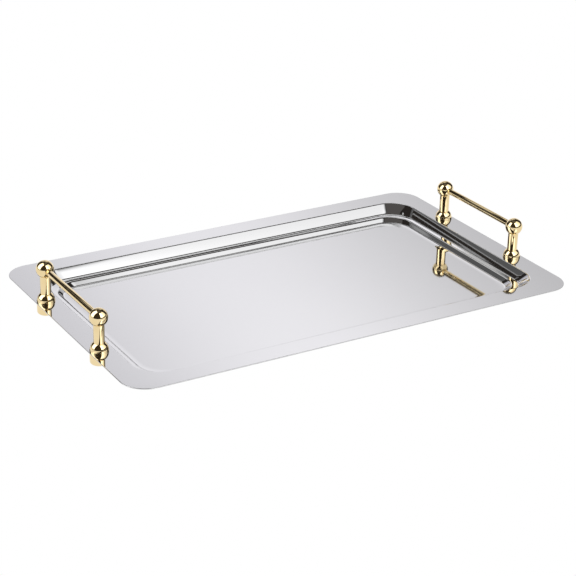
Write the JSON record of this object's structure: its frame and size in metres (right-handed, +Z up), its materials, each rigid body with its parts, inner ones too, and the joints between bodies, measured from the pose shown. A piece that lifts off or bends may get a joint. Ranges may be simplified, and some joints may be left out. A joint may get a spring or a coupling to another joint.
{
  "type": "serving tray",
  "caption": "Shallow rectangular mirror-polished steel serving tray with a flat rim, a stepped well and gold post-and-rod handles at both ends.",
  "frame": {"origin": "centre of the flat base that the tray stands on", "axes": "+Z up, +X along the long side from one handle to the other, +Y across"},
  "size_m": [0.53, 0.325, 0.0622],
  "materials": {
    "polished_steel": "mirror polished",
    "gold_brass": "polished gold plate",
    "zinc_steel": "bright zinc",
    "washer_nylon": "matt"
  },
  "bodies": {
    "root": {"tray": "polished_steel", "rod_left": "gold_brass", "rod_right": "gold_brass", "ball_left_front": "gold_brass", "ball_left_rear": "gold_brass", "ball_right_front": "gold_brass", "ball_right_rear": "gold_brass", "pillar_left_front": "gold_brass", "pillar_left_rear": "gold_brass", "pillar_right_front": "gold_brass", "pillar_right_rear": "gold_brass", "dome_left_front": "gold_brass", "dome_left_rear": "gold_brass", "dome_right_front": "gold_brass", "dome_right_rear": "gold_brass", "washer_left_front": "washer_nylon", "washer_left_rear": "washer_nylon", "washer_right_front": "washer_nylon", "washer_right_rear": "washer_nylon", "foot_left_front": "gold_brass", "foot_left_rear": "gold_brass", "foot_right_front": "gold_brass", "foot_right_rear": "gold_brass", "stud_left_front": "zinc_steel", "stud_left_rear": "zinc_steel", "stud_right_front": "zinc_steel", "stud_right_rear": "zinc_steel"}
  },
  "joints": []
}
